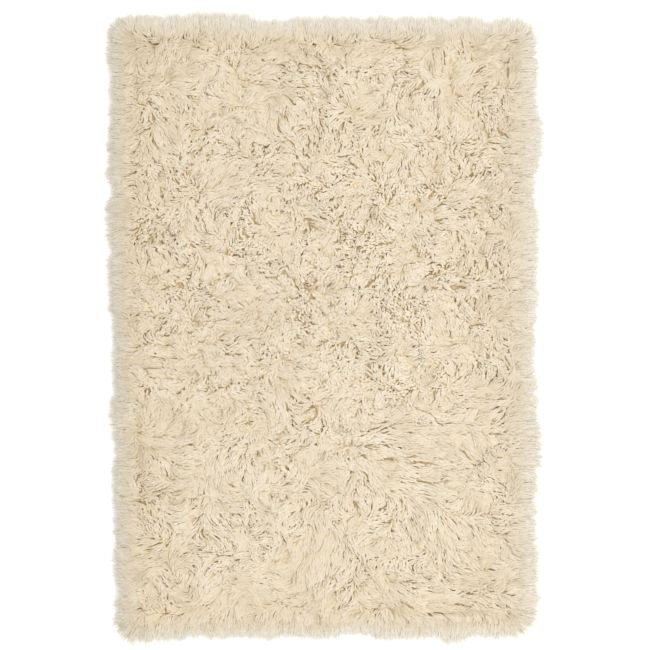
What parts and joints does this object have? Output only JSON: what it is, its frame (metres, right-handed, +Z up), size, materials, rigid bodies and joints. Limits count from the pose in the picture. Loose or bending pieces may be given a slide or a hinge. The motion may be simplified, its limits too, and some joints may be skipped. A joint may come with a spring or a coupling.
{
  "type": "shag rug",
  "caption": "Rectangular cream wool shag rug lying flat, with long curly pile in combed clumps and soft locks that fall over its rim onto the floor.",
  "frame": {"origin": "bottom centre of the rug's box, on the floor", "axes": "+Z up out of the pile, +Y along the length towards the picture's top edge, +X across the width to the picture's right"},
  "size_m": [1.3652, 1.9642, 0.056],
  "materials": {
    "wool_pile": "natural undyed cream wool, long crimped locks, matt with a faint sheen"
  },
  "bodies": {
    "root": {"shag_rug": "wool_pile"}
  },
  "joints": []
}
